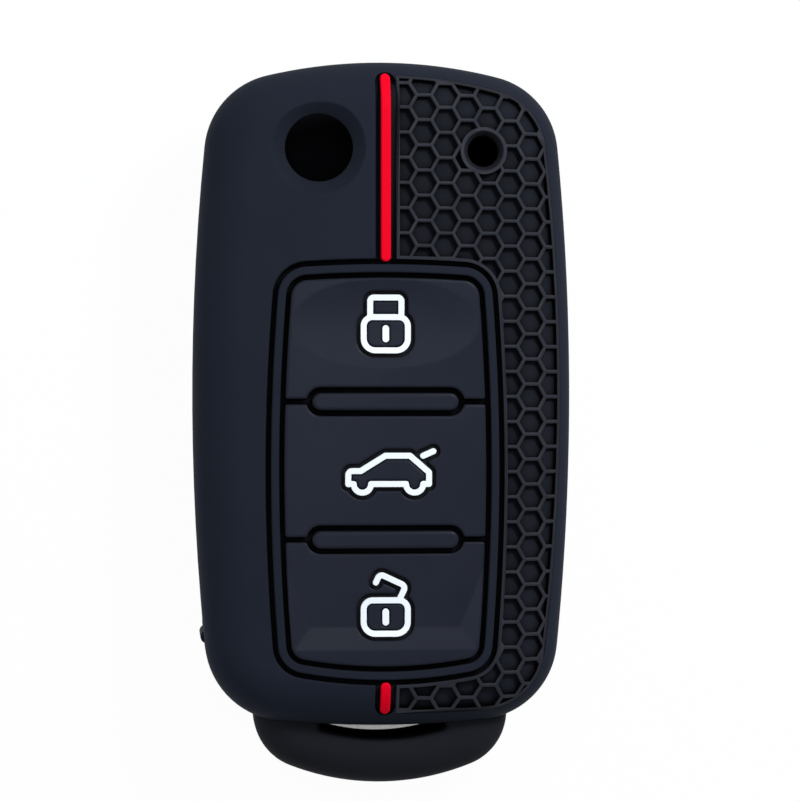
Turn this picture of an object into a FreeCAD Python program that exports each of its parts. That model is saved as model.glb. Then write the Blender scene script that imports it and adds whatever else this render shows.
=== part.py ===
"""Soft moulded cover for a folding car key with three push buttons.

The cover lies on its back.  X runs across it, towards the honeycomb side, Y runs along it, towards the
end that the key blade swings out of, and Z points out of the button face.  The origin is in the middle
of the overall length and width, on the plane of the back.  Sizes are in millimetres.
"""
import FreeCAD, Part
import math
import os

V = FreeCAD.Vector

# Sleeve: outline, thickness and wall
BODY_LENGTH = 74.83
BODY_WIDTH = 42.8
BODY_THICKNESS = 19.0
BODY_WALL = 2.0
TOP_BOW = 57.0
SIDE_BOW = 284.0
BOTTOM_BOW = 130.0
TOP_CORNER = 9.1
BOTTOM_CORNER = 9.3
FRONT_CROWN = 150.0
FRONT_SHOULDER = 6.0
BACK_SHOULDER = 4.0

# Keyring lug at the lower end, with its curved slot
LUG_REACH = 6.77
LUG_ROOT = 14.33
LUG_WIDTH = 29.0
LUG_THICKNESS = 11.0
LUG_HEIGHT = 8.6
LUG_SIDE_BOW = 90.0
LUG_END_BOW = 28.0
LUG_CORNER = 6.5
LUG_SHOULDER = 4.0
SLOT_WIDTH = 1.87
SLOT_TOP_BOW = 60.0
SLOT_FOOT_BOW = 22.0
SLOT_END = 0.6
SLOT_BITE = 0.33
SLOT_LIP = 0.7

# Mouth that the key goes in through and the blade swings out of
MOUTH_WIDTH = 8.0
MOUTH_HEIGHT = 6.8
MOUTH_LENGTH = 64.5
MOUTH_PAST_MIDDLE = 1.0
MOUTH_LIP = 0.4
BEAD_RADIUS = 0.75
BEAD_RISE = 0.4
TOP_BEAD_RISE = 0.15
BEAD_EXTRA = 1.6

# Release hole over the key's blade button, and the small hole over its lamp
RELEASE_X = -7.45
RELEASE_DROP = 10.01
RELEASE_RADIUS = 3.8
RELEASE_RIM_RADIUS = 5.35
RELEASE_RIM_DEPTH = 1.1
RELEASE_EDGE = 0.25
LAMP_X = 10.98
LAMP_DROP = 10.31
LAMP_RADIUS = 1.75
LAMP_RING = 0.7

# Button panel: two grooves with a raised bezel between them
PANEL_DROP = 22.73
PANEL_LENGTH = 46.8
PANEL_WIDTH = 26.09
PANEL_WAIST_DROP = 23.16
PANEL_TOP_BOW = 135.0
PANEL_SIDE_BOW = 245.0
PANEL_BOTTOM_BOW = 54.0
PANEL_TOP_CORNER = 3.6
PANEL_BOTTOM_CORNER = 3.4
BEZEL_PITCH = 1.5
GROOVE_WIDTH = 0.55
GROOVE_DEPTH = 1.2
PANEL_EDGE = 0.2
WEB_THICKNESS = 0.6

# Buttons and the two bars between them
LOCK_LENGTH = 14.07
BOOT_LENGTH = 15.35
BUTTON_GAP = 0.6
BUTTON_EDGE = 0.2
BUTTON_CORNER = 0.25
WEB_CLEARANCE = 0.08
DISH_LENGTH = 21.0
DISH_DEPTH = 0.4
LOCK_DISH_WIDTH = 10.0
LOCK_DISH_DROP = 5.32
SCOOP_DEPTH = 0.42
SCOOP_SLOPE = 9.5
SCOOP_DROP = 9.73
SCOOP_FOOT = 16.8
SCOOP_WIDTH = 22.6
SCOOP_SHOULDER = 7.5
BAR_LENGTH = 16.35
BAR_WIDTH = 1.97
BAR_GAP = 0.6
BAR_EDGE = 0.3

# Symbols on the buttons
STROKE = 0.66
MOAT = 0.45
INNER_MOAT = 0.12
MOAT_DEPTH = 0.5
SYMBOL_RISE = 0.08
PADLOCK_WIDTH = 4.92
PADLOCK_HEIGHT = 3.7
PADLOCK_TOP_CORNER = 1.0
PADLOCK_FOOT_CORNER = 1.3
SHACKLE_WIDTH = 3.48
SHACKLE_HEIGHT = 2.17
SHACKLE_CORNER = 0.4
KEYHOLE_WIDTH = 0.74
KEYHOLE_HEIGHT = 1.9
OPEN_SWING = 25.0
OPEN_FOOT = 1.5
OPEN_LEG = 1.75
OPEN_BAR = 3.2
OPEN_TIP = 1.05
OPEN_CORNER = 0.5
LOCK_SYMBOL_DROP = 6.52
BOOT_SYMBOL_DROP = 9.15
UNLOCK_SYMBOL_DROP = 8.6
CAR_FRONT = 4.2
CAR_REAR = 4.8
CAR_BONNET = 1.44
CAR_ROOF = 3.14
CAR_BOOT = 1.3
CAR_SCREEN_FOOT = 2.82
CAR_SCREEN_TOP = 0.06
CAR_ROOF_END = 2.67
CAR_WHEEL = 0.96
CAR_FRONT_AXLE = 2.63
CAR_REAR_AXLE = 3.19
CAR_NOSE_CORNER = 0.45
LID_START = 4.15
LID_END = 5.3
LID_LOW = 3.13
LID_HIGH = 3.64

# Coloured stripes
STRIPE_WIDTH = 1.12
STRIPE_RISE = 0.1
STRIPE_EDGE = 0.2
CHANNEL_WIDTH = 2.33
CHANNEL_DEPTH = 0.8
UPPER_STRIPE_DROP = 1.66
LOWER_STRIPE_END = 1.66
CHANNEL_END_GAP = 0.15
REAR_STRIPE_DEPTH = 0.6
REAR_STRIPE_TOP = 2.7
REAR_STRIPE_BOTTOM = 2.0
REAR_RECESS = 0.05

# Honeycomb fields
CELL_PITCH = 2.8
RIB_WIDTH = 0.42
BORDER_WIDTH = 0.38
FIELD_DEPTH = 0.8
CELL_X = 4.29
CELL_DROP = 5.53
SMALLEST_CELL = 0.25
FIELD_TOP_MARGIN = 1.81
FIELD_SIDE_MARGIN = 1.53
FIELD_BOTTOM_MARGIN = 1.67
FIELD_TOP_BOW = 50.4
FIELD_SIDE_BOW = 230.0
FIELD_BOTTOM_BOW = 250.0
FIELD_CORNER = 7.1
REAR_FIELD_MARGIN = 4.3
REAR_FIELD_START = 1.6
REAR_CELL_X = 3.6

# How near counts as touching, and how small a turn, in radians, counts as smooth
TOUCH = 0.005
SMOOTH_TURN = 0.1

# Places worked out from the sizes above
TOP = (BODY_LENGTH + LUG_REACH - TOP_BEAD_RISE) / 2
BOTTOM = TOP - BODY_LENGTH
MIDDLE = (TOP + BOTTOM) / 2
PANEL_TOP = TOP - PANEL_DROP
PANEL_BOTTOM = PANEL_TOP - PANEL_LENGTH
UPPER_BAR = PANEL_TOP - BEZEL_PITCH - LOCK_LENGTH
LOWER_BAR = UPPER_BAR - BOOT_LENGTH
COLUMN_PITCH = CELL_PITCH * math.sqrt(3) / 2
FAR = 3 * (BODY_LENGTH + BODY_WIDTH)


def circles_meet(first, first_radius, second, second_radius, side):
    """Return the point where two circles cross, on the given side of the line between their centres."""
    line = second.sub(first)
    gap = line.Length
    along = (first_radius ** 2 - second_radius ** 2 + gap ** 2) / (2 * gap)
    across = math.sqrt(first_radius ** 2 - along ** 2)
    unit = V(line).normalize()
    normal = V(-unit.y, unit.x, 0)
    return first.add(unit.multiply(along)).add(normal.multiply(side * across))


def arc(centre, start, end):
    """Return the shorter arc from start to end round a centre."""
    radius = start.sub(centre).Length
    middle = start.sub(centre).add(end.sub(centre)).normalize().multiply(radius)
    return Part.Arc(start, centre.add(middle), end).toShape()


class Barrel:
    """An outline of four bowed sides with round corners, the same on the left and the right."""

    def __init__(self, top, bottom, width, waist, top_bow, side_bow, bottom_bow, top_corner, bottom_corner):
        self.top = top
        self.bottom = bottom
        self.width = width
        self.waist = waist
        self.top_bow = top_bow
        self.side_bow = side_bow
        self.bottom_bow = bottom_bow
        self.top_corner = top_corner
        self.bottom_corner = bottom_corner

    def corner(self, end, bow, corner, inset, up):
        """Return where the right-hand corner arc starts and ends, and its centre."""
        end_centre = V(0, end - up * bow, 0)
        side_centre = V(self.width / 2 - self.side_bow, self.waist, 0)
        centre = circles_meet(end_centre, bow - corner, side_centre, self.side_bow - corner, -up)
        end_point = end_centre.add(centre.sub(end_centre).normalize().multiply(bow - inset))
        side_point = side_centre.add(centre.sub(side_centre).normalize().multiply(self.side_bow - inset))
        return end_point, side_point, centre

    def face(self, inset=0.0):
        """Return the outline's flat face, drawn in evenly by inset or, if that is negative, grown."""
        top_end, top_side, top_centre = self.corner(self.top, self.top_bow, self.top_corner, inset, 1)
        low_end, low_side, low_centre = self.corner(self.bottom, self.bottom_bow, self.bottom_corner, inset,
                                                    -1)
        side = Part.Arc(top_side, V(self.width / 2 - inset, self.waist, 0), low_side).toShape()
        half = [arc(top_centre, top_end, top_side), side, arc(low_centre, low_side, low_end)]
        mirrored = [edge.mirror(V(0, 0, 0), V(1, 0, 0)) for edge in half]
        top_edge = Part.Arc(V(-top_end.x, top_end.y, 0), V(0, self.top - inset, 0), top_end).toShape()
        low_edge = Part.Arc(low_end, V(0, self.bottom + inset, 0), V(-low_end.x, low_end.y, 0)).toShape()
        edges = [top_edge] + half + [low_edge] + mirrored
        return Part.Face(Part.Wire(Part.__sortEdges__(edges)))


BODY = Barrel(TOP, BOTTOM, BODY_WIDTH, MIDDLE, TOP_BOW, SIDE_BOW, BOTTOM_BOW, TOP_CORNER, BOTTOM_CORNER)
LUG = Barrel(BOTTOM + LUG_ROOT, BOTTOM - LUG_REACH, LUG_WIDTH, BOTTOM + (LUG_ROOT - LUG_REACH) / 2,
             LUG_SIDE_BOW, LUG_SIDE_BOW, LUG_END_BOW, LUG_CORNER, LUG_CORNER)
PANEL = Barrel(PANEL_TOP, PANEL_BOTTOM, PANEL_WIDTH, PANEL_TOP - PANEL_WAIST_DROP, PANEL_TOP_BOW,
               PANEL_SIDE_BOW, PANEL_BOTTOM_BOW, PANEL_TOP_CORNER, PANEL_BOTTOM_CORNER)
FIELD = Barrel(TOP - FIELD_TOP_MARGIN, BOTTOM + FIELD_BOTTOM_MARGIN, BODY_WIDTH - 2 * FIELD_SIDE_MARGIN,
               MIDDLE, FIELD_TOP_BOW, FIELD_SIDE_BOW, FIELD_BOTTOM_BOW, FIELD_CORNER, FIELD_CORNER)


def prism(face, low=-FAR, high=FAR):
    """Return a flat face drawn into an upright solid between two heights."""
    placed = face.copy()
    placed.translate(V(0, 0, low))
    return placed.extrude(V(0, 0, high - low))


def shifted(shape, rise):
    """Return a copy of a shape, moved up by rise."""
    copy = shape.copy()
    copy.translate(V(0, 0, rise))
    return copy


def rectangle(x_low, x_high, y_low, y_high):
    """Return a flat rectangular face."""
    corners = [V(x_low, y_low), V(x_high, y_low), V(x_high, y_high), V(x_low, y_high)]
    return Part.Face(Part.makePolygon(corners + corners[:1]))


def pill(start, end, width):
    """Return a flat face with straight sides and round ends, whose tips reach start and end."""
    along = end.sub(start).normalize()
    across = V(-along.y, along.x, 0).multiply(width / 2)
    reach = V(along).multiply(width / 2)
    first = start.add(reach)
    last = end.sub(reach)
    edges = [Part.LineSegment(first.add(across), last.add(across)).toShape(),
             Part.Arc(last.add(across), end, last.sub(across)).toShape(),
             Part.LineSegment(last.sub(across), first.sub(across)).toShape(),
             Part.Arc(first.sub(across), start, first.add(across)).toShape()]
    return Part.Face(Part.Wire(edges))


def disc(x, y, radius):
    """Return a flat round face."""
    return Part.Face(Part.Wire(Part.makeCircle(radius, V(x, y, 0))))


def rounded_loop(solid, face, radius):
    """Return the solid with the edges round one of its faces rounded."""
    return solid.makeFillet(radius, face.OuterWire.Edges)


def middle_of(edge):
    """Return the point half-way along an edge."""
    return edge.valueAt((edge.FirstParameter + edge.LastParameter) / 2)


def is_sharp(solid, edge):
    """Return whether the faces that meet at an edge of a solid turn by an angle there."""
    place = middle_of(edge)
    normals = [face.normalAt(*face.Surface.parameter(place)) for face in solid.ancestorsOfType(edge, Part.Face)]
    return len(normals) == 2 and normals[0].getAngle(normals[1]) > SMOOTH_TURN


def rims(solid, skin):
    """Return a solid's sharp edges that lie on the outside of another solid."""
    shell = skin.Shells[0]
    sharp = [edge for edge in solid.Edges if is_sharp(solid, edge)]
    return [edge for edge in sharp if shell.distToShape(Part.Vertex(middle_of(edge)))[0] < TOUCH]


def softened(solid, cuts, skin, radius):
    """Return a solid with cuts made in it, and the edges that they leave on its outside rounded."""
    cut = solid.cut(cuts)
    return cut.makeFillet(radius, rims(cut, skin))


def crowned_block(inset=0.0):
    """Return a long block with a crowned front, drawn in by inset."""
    crown = FRONT_CROWN - inset
    reach = BODY_WIDTH
    edge = BODY_THICKNESS - FRONT_CROWN + math.sqrt(crown ** 2 - reach ** 2)
    apex = V(0, 0, BODY_THICKNESS - inset)
    section = [Part.Arc(V(-reach, 0, edge), apex, V(reach, 0, edge)).toShape(),
               Part.LineSegment(V(reach, 0, edge), V(reach, 0, inset)).toShape(),
               Part.LineSegment(V(reach, 0, inset), V(-reach, 0, inset)).toShape(),
               Part.LineSegment(V(-reach, 0, inset), V(-reach, 0, edge)).toShape()]
    crowned = Part.Face(Part.Wire(section))
    crowned.translate(V(0, -FAR / 2, 0))
    return crowned.extrude(V(0, FAR, 0))


def body_block(inset=0.0):
    """Return the closed body: crowned front, flat back and round shoulders, drawn in evenly by inset."""
    block = prism(BODY.face(inset), 0, 2 * BODY_THICKNESS).common(crowned_block(inset))
    front = max(block.Faces, key=lambda item: item.CenterOfMass.z)
    block = rounded_loop(block, front, FRONT_SHOULDER - inset)
    back = min(block.Faces, key=lambda item: item.CenterOfMass.z)
    return rounded_loop(block, back, BACK_SHOULDER - inset)


def lug_block(inset=0.0):
    """Return the closed keyring lug, drawn in evenly by inset."""
    half = LUG_THICKNESS / 2 - inset
    block = prism(LUG.face(inset), LUG_HEIGHT - half, LUG_HEIGHT + half)
    front = max(block.Faces, key=lambda item: item.CenterOfMass.z)
    block = rounded_loop(block, front, LUG_SHOULDER - inset)
    back = min(block.Faces, key=lambda item: item.CenterOfMass.z)
    return rounded_loop(block, back, LUG_SHOULDER - inset)


def ring_band(outline, outer_inset, inner_inset):
    """Return the flat band between two insets of one outline."""
    return outline.face(outer_inset).cut(outline.face(inner_inset))


def pocket(face, solid, depth):
    """Return what a cut of even depth, straight down through a flat face's outline, takes off a front."""
    return prism(face, BODY_THICKNESS / 2, FAR).common(solid).cut(shifted(solid, -depth))


def mouth():
    """Return the cut for the mouth: along the left wall and round to the middle of the top wall."""
    low = TOP - MOUTH_LENGTH
    half = MOUTH_WIDTH / 2
    band = ring_band(BODY, -BODY_WALL, 2 * BODY_WALL)
    corner = band.common(rectangle(-FAR, MOUTH_PAST_MIDDLE - half, low + half, FAR))
    cut = prism(corner, MOUTH_HEIGHT - half, MOUTH_HEIGHT + half)
    side_end = Part.makeCylinder(half, 3 * BODY_WALL, V(-BODY_WIDTH / 2 - BODY_WALL, low + half, MOUTH_HEIGHT),
                                 V(1, 0, 0))
    top_end = Part.makeCylinder(half, 3 * BODY_WALL, V(MOUTH_PAST_MIDDLE - half, TOP + BODY_WALL, MOUTH_HEIGHT),
                                V(0, -1, 0))
    return cut.fuse([side_end, top_end])


def bead(x, y, inward, rise):
    """Return the upright bead that stiffens one end of the mouth."""
    height = MOUTH_WIDTH + BEAD_EXTRA
    centre = V(x, y, MOUTH_HEIGHT - height / 2).add(V(inward).multiply(BEAD_RADIUS - rise))
    post = Part.makeCylinder(BEAD_RADIUS, height, centre)
    rims = [edge for edge in post.Edges if isinstance(edge.Curve, Part.Circle)]
    return post.makeFillet(BEAD_RADIUS / 2, rims)


def beads():
    """Return the beads at the lower and the upper end of the mouth."""
    side_y = TOP - MOUTH_LENGTH - BEAD_RISE
    side_x = SIDE_BOW - BODY_WIDTH / 2 - math.sqrt(SIDE_BOW ** 2 - (side_y - MIDDLE) ** 2)
    top_x = MOUTH_PAST_MIDDLE + BEAD_RISE
    top_y = TOP - TOP_BOW + math.sqrt(TOP_BOW ** 2 - top_x ** 2)
    return [bead(side_x, side_y, V(1, 0, 0), BEAD_RISE), bead(top_x, top_y, V(0, -1, 0), TOP_BEAD_RISE)]


def slot_face():
    """Return the keyring slot's outline, whose long sides both sag towards the end of the lug."""
    top = BOTTOM + SLOT_BITE
    foot = top - SLOT_WIDTH
    top_centre = V(0, top + SLOT_TOP_BOW, 0)
    foot_centre = V(0, foot + SLOT_FOOT_BOW, 0)
    centre = circles_meet(top_centre, SLOT_TOP_BOW + SLOT_END, foot_centre, SLOT_FOOT_BOW - SLOT_END, 1)
    top_right = top_centre.add(centre.sub(top_centre).normalize().multiply(SLOT_TOP_BOW))
    foot_right = foot_centre.add(centre.sub(foot_centre).normalize().multiply(SLOT_FOOT_BOW))
    tip = centre.add(V(SLOT_END, 0, 0))
    end = Part.Arc(top_right, tip, foot_right).toShape()
    top_side = Part.Arc(V(-top_right.x, top_right.y, 0), V(0, top, 0), top_right).toShape()
    foot_side = Part.Arc(foot_right, V(0, foot, 0), V(-foot_right.x, foot_right.y, 0)).toShape()
    edges = [top_side, end, foot_side, end.mirror(V(0, 0, 0), V(1, 0, 0))]
    return Part.Face(Part.Wire(Part.__sortEdges__(edges)))


def crown_height(x):
    """Return the height of the crowned front at a distance across from the middle."""
    return BODY_THICKNESS - FRONT_CROWN + math.sqrt(FRONT_CROWN ** 2 - x ** 2)


def release_axis():
    """Return the middle of the release hole's rim, on the crown, and the way out of the crown there."""
    rim = V(RELEASE_X, TOP - RELEASE_DROP, crown_height(RELEASE_X))
    return rim, rim.sub(V(0, rim.y, BODY_THICKNESS - FRONT_CROWN)).normalize()


def release_hole():
    """Return the cut for the release hole and its sloping rim, square to the crown."""
    rim, outward = release_axis()
    slope = (RELEASE_RIM_RADIUS - RELEASE_RADIUS) / RELEASE_RIM_DEPTH
    flare = RELEASE_RIM_RADIUS + RELEASE_RIM_DEPTH * slope
    base = rim.sub(V(outward).multiply(RELEASE_RIM_DEPTH))
    cone = Part.makeCone(RELEASE_RADIUS, flare, 2 * RELEASE_RIM_DEPTH, base, outward)
    foot = rim.sub(V(outward).multiply(BODY_THICKNESS / 2))
    return Part.makeCylinder(RELEASE_RADIUS, BODY_THICKNESS / 2, foot, outward).fuse(cone)


def lamp_hole():
    """Return the cut for the lamp hole, through the front wall only."""
    return Part.makeCylinder(LAMP_RADIUS, BODY_THICKNESS, V(LAMP_X, TOP - LAMP_DROP, BODY_THICKNESS / 2))


def upper_stripe_face(margin=0.0, width=STRIPE_WIDTH):
    """Return the outline of the stripe above the panel, or of its channel, which is longer and wider."""
    return pill(V(0, PANEL_TOP - margin, 0), V(0, TOP - UPPER_STRIPE_DROP + margin, 0), width)


def lower_stripe_face(margin=0.0, width=STRIPE_WIDTH):
    """Return the outline of the stripe below the panel, or of its channel."""
    return pill(V(0, BOTTOM + LOWER_STRIPE_END - margin, 0), V(0, PANEL_BOTTOM + margin, 0), width)


def channel_faces():
    """Return the outlines of the front stripes' channels, with square ends at the panel."""
    half = CHANNEL_WIDTH / 2
    return [upper_stripe_face(CHANNEL_END_GAP, CHANNEL_WIDTH),
            rectangle(-half, half, PANEL_TOP, PANEL_TOP + CHANNEL_WIDTH),
            lower_stripe_face(CHANNEL_END_GAP, CHANNEL_WIDTH),
            rectangle(-half, half, PANEL_BOTTOM - half, PANEL_BOTTOM)]


def rear_stripe_face():
    """Return the outline of the stripe along the back."""
    return pill(V(0, BOTTOM + REAR_STRIPE_BOTTOM, 0), V(0, TOP - REAR_STRIPE_TOP, 0), STRIPE_WIDTH)


def front_field(border=0.0):
    """Return the outline of the front honeycomb, drawn in by a border."""
    right = rectangle(CHANNEL_WIDTH / 2 + border, FAR, -FAR, FAR)
    return FIELD.face(border).common(right).cut(PANEL.face(-GROOVE_WIDTH / 2 - border))


def rear_field(border=0.0):
    """Return the outline of the rear honeycomb, drawn in by a border."""
    right = rectangle(REAR_FIELD_START + border, FAR, -FAR, FAR)
    return BODY.face(REAR_FIELD_MARGIN + border).common(right)


def hexagon(x, y):
    """Return one flat cell, with two of its sides across the length of the cover."""
    radius = (CELL_PITCH - RIB_WIDTH) / math.sqrt(3)
    corners = [V(x + radius * math.cos(math.pi * step / 3), y + radius * math.sin(math.pi * step / 3), 0)
               for step in range(7)]
    return Part.Face(Part.makePolygon(corners))


def cells(interior, anchor_x):
    """Return the flat cells of a honeycomb, cut to its interior, without the smallest scraps."""
    box = interior.BoundBox
    first = math.floor((box.XMin - anchor_x) / COLUMN_PITCH)
    last = math.ceil((box.XMax - anchor_x) / COLUMN_PITCH)
    anchor_y = TOP - CELL_DROP
    low = math.floor((box.YMin - anchor_y) / CELL_PITCH) - 1
    high = math.ceil((box.YMax - anchor_y) / CELL_PITCH)
    grid = [hexagon(anchor_x + column * COLUMN_PITCH, anchor_y + (row + column % 2 / 2) * CELL_PITCH)
            for column in range(first, last + 1) for row in range(low, high + 1)]
    cut = interior.common(Part.makeCompound(grid))
    return [face for face in cut.Faces if face.Area > SMALLEST_CELL]


def front_honeycomb(outer):
    """Return the ribs of the front field, with the ring round the lamp hole."""
    lamp_ring = disc(LAMP_X, TOP - LAMP_DROP, LAMP_RADIUS + LAMP_RING)
    openings = cells(front_field(BORDER_WIDTH).cut(lamp_ring), CELL_X)
    slab = pocket(front_field(), outer, FIELD_DEPTH).cut(lamp_hole())
    return slab.cut([prism(face, BODY_THICKNESS / 2, FAR) for face in openings])


def rear_honeycomb():
    """Return the ribs of the rear field."""
    openings = cells(rear_field(BORDER_WIDTH), REAR_CELL_X)
    lattice = rear_field().cut(openings)
    return prism(lattice, REAR_RECESS, FIELD_DEPTH)


def panel_window():
    """Return the upright block that the button panel's window takes out of the front wall."""
    return prism(PANEL.face(BEZEL_PITCH - GROOVE_WIDTH / 2), BODY_THICKNESS / 2, FAR)


def keyring_slot():
    """Return the cut for the keyring slot, through both walls of the lug."""
    return prism(slot_face(), LUG_HEIGHT - LUG_THICKNESS, LUG_HEIGHT + LUG_THICKNESS / 2)


def keyring_lug(outer):
    """Return the hollow, slotted lug, from where it leaves the body."""
    block = softened(lug_block(), [keyring_slot()], lug_block(), SLOT_LIP)
    return block.cut([lug_block(BODY_WALL), keyring_slot(), outer])


def sleeve(outer, hollow):
    """Return the moulded sleeve with its mouth, holes, grooves and seats, open towards the lug."""
    groove = pocket(ring_band(PANEL, -GROOVE_WIDTH / 2, GROOVE_WIDTH / 2), outer, GROOVE_DEPTH)
    block = softened(outer, [panel_window(), groove], outer, PANEL_EDGE)
    block = softened(block, [release_hole()], outer, RELEASE_EDGE)
    block = softened(block, [mouth()], outer, MOUTH_LIP)
    shell = block.fuse(beads()).cut([hollow, lug_block(BODY_WALL), keyring_slot(), lamp_hole()])
    channels = [pocket(face, outer, CHANNEL_DEPTH) for face in channel_faces()]
    rear_channel = prism(rear_stripe_face(), -FAR, BODY_THICKNESS / 2).cut(shifted(outer, REAR_STRIPE_DEPTH))
    front_seat = pocket(front_field(), outer, FIELD_DEPTH)
    rear_seat = prism(rear_field(), -FAR, FIELD_DEPTH)
    return shell.cut(channels + [rear_channel, front_seat, rear_seat])


def front_stripe(face, outer):
    """Return a stripe that stands on the floor of its channel, a little proud of the front."""
    top = shifted(outer, STRIPE_RISE)
    strip = prism(face, BODY_THICKNESS / 2, FAR).common(top).cut(shifted(outer, -CHANNEL_DEPTH))
    return strip.makeFillet(STRIPE_EDGE, rims(strip, top))


def rear_stripe(outer):
    """Return the stripe that fills its channel along the back."""
    strip = prism(rear_stripe_face(), -FAR, BODY_THICKNESS / 2).common(shifted(outer, REAR_RECESS))
    return strip.cut(shifted(outer, REAR_STRIPE_DEPTH))


def bar_face(y, margin=0.0):
    """Return the outline of a bar between two buttons, grown by a margin."""
    half = BAR_LENGTH / 2 + margin
    return pill(V(-half, y, 0), V(half, y, 0), BAR_WIDTH + 2 * margin)


def bar(y, outer, web_top):
    """Return a bar that stands on the web, with its top edge rounded."""
    block = prism(bar_face(y), BODY_THICKNESS / 2, FAR).common(outer).cut(web_top)
    return block.makeFillet(BAR_EDGE, rims(block, outer))


def button_faces(clearance=0.0):
    """Return the outlines of the three buttons from the top down, grown by a clearance."""
    area = PANEL.face(BEZEL_PITCH + GROOVE_WIDTH / 2 - clearance)
    gap = BUTTON_GAP / 2 - clearance
    splits = [rectangle(-FAR, FAR, y - gap, y + gap) for y in (UPPER_BAR, LOWER_BAR)]
    bars = [bar_face(y, BAR_GAP - clearance) for y in (UPPER_BAR, LOWER_BAR)]
    pieces = area.cut(splits + bars).Faces
    return sorted(pieces, key=lambda piece: -piece.CenterOfMass.y)


def sharp_uprights(block):
    """Return the upright edges of a prism where its walls meet at an angle."""
    uprights = [edge for edge in block.Edges if max(edge.BoundBox.XLength, edge.BoundBox.YLength) < TOUCH]
    return [edge for edge in uprights if is_sharp(block, edge)]


def dish(y):
    """Return the cut for the upper button's shallow dish, which runs out on the crown to both sides."""
    half_length = DISH_LENGTH / 2
    half_width = LOCK_DISH_WIDTH / 2
    sweep = (half_width ** 2 + DISH_DEPTH ** 2) / (2 * DISH_DEPTH)
    floor = BODY_THICKNESS - DISH_DEPTH
    axis = floor + sweep
    rim = crown_height(half_length)
    left = V(-half_length, y, rim)
    right = V(half_length, y, rim)
    left_axis = V(-half_length, y, axis)
    right_axis = V(half_length, y, axis)
    bottom = Part.Arc(left, V(0, y, floor), right).toShape()
    sides = [Part.LineSegment(right, right_axis).toShape(), Part.LineSegment(right_axis, left_axis).toShape(),
             Part.LineSegment(left_axis, left).toShape()]
    section = Part.Face(Part.Wire([bottom] + sides))
    swing = 2 * math.degrees(math.asin(half_width / sweep))
    section.rotate(V(0, y, axis), V(1, 0, 0), -swing)
    return section.revolve(V(0, y, axis), V(1, 0, 0), 2 * swing)


def scoop():
    """Return what the lower button is kept to: an even floor, and three sides that slope up from it."""
    foot = LOWER_BAR - SCOOP_DROP
    half_foot = SCOOP_FOOT / 2
    lean = SCOOP_WIDTH / 2 - half_foot
    floor = shifted(crowned_block(), -SCOOP_DEPTH)
    low_side = floor.copy()
    low_side.rotate(V(0, foot, BODY_THICKNESS - SCOOP_DEPTH), V(1, 0, 0), -SCOOP_SLOPE)
    left_side = floor.copy()
    corner = crown_height(half_foot) - SCOOP_DEPTH
    left_side.rotate(V(-half_foot, foot, corner), V(-lean, SCOOP_SHOULDER, 0), SCOOP_SLOPE)
    right_side = left_side.mirror(V(0, 0, 0), V(1, 0, 0))
    return floor.fuse([low_side, left_side, right_side])


def button_blank(face, outer, hollow):
    """Return a button without its symbol: the full thickness of the front wall, with soft edges."""
    block = prism(face, BODY_THICKNESS / 2, 2 * BODY_THICKNESS)
    block = block.makeFillet(BUTTON_CORNER, sharp_uprights(block))
    block = block.common(outer).cut(hollow)
    return block.makeFillet(BUTTON_EDGE, rims(block, outer))


def path(points, closed=False):
    """Return the edges of a line through points of (x, y, corner radius)."""
    places = [V(x, y, 0) for x, y, radius in points]
    count = len(points)
    starts = list(places)
    ends = list(places)
    corners = [None] * count
    for index in range(count):
        radius = points[index][2]
        if radius == 0:
            continue
        back = places[index - 1].sub(places[index]).normalize()
        ahead = places[(index + 1) % count].sub(places[index]).normalize()
        half_angle = back.getAngle(ahead) / 2
        reach = radius / math.tan(half_angle)
        ends[index] = places[index].add(V(back).multiply(reach))
        starts[index] = places[index].add(V(ahead).multiply(reach))
        bisector = back.add(ahead).normalize()
        centre = places[index].add(bisector.multiply(radius / math.sin(half_angle)))
        corners[index] = arc(centre, ends[index], starts[index])
    edges = []
    for index in range(count if closed else count - 1):
        following = (index + 1) % count
        edges.append(Part.LineSegment(starts[index], ends[following]).toShape())
        if corners[following] is not None:
            edges.append(corners[following])
    return edges


def stroke(edges, width):
    """Return the upright solid over what a round pen of this width draws along lines and arcs."""
    half = width / 2
    marks = []
    for edge in edges:
        start = edge.valueAt(edge.FirstParameter)
        end = edge.valueAt(edge.LastParameter)
        marks += [disc(start.x, start.y, half), disc(end.x, end.y, half)]
        if isinstance(edge.Curve, Part.Circle):
            marks.append(arc_band(edge.Curve.Center, start, middle_of(edge), end, half))
        else:
            across = V(start.y - end.y, end.x - start.x, 0).normalize().multiply(half)
            corners = [start.add(across), end.add(across), end.sub(across), start.sub(across)]
            marks.append(Part.Face(Part.makePolygon(corners + corners[:1])))
    solids = [prism(mark, BODY_THICKNESS / 2, 2 * BODY_THICKNESS) for mark in marks]
    return solids[0].multiFuse(solids[1:]).removeSplitter()


def arc_band(centre, start, middle, end, half):
    """Return the flat band within half a pen's width of an arc."""
    radius = start.sub(centre).Length
    inner_radius = radius - half if radius - half > TOUCH else 0.0
    outer_scale = (radius + half) / radius
    inner_scale = inner_radius / radius
    outer = [centre.add(point.sub(centre).multiply(outer_scale)) for point in (start, middle, end)]
    inner = [centre.add(point.sub(centre).multiply(inner_scale)) for point in (start, middle, end)]
    edges = [Part.Arc(*outer).toShape(), Part.LineSegment(outer[2], inner[2]).toShape()]
    if inner_radius:
        edges.append(Part.Arc(*reversed(inner)).toShape())
    edges.append(Part.LineSegment(inner[0], outer[0]).toShape())
    return Part.Face(Part.Wire(edges))


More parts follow.
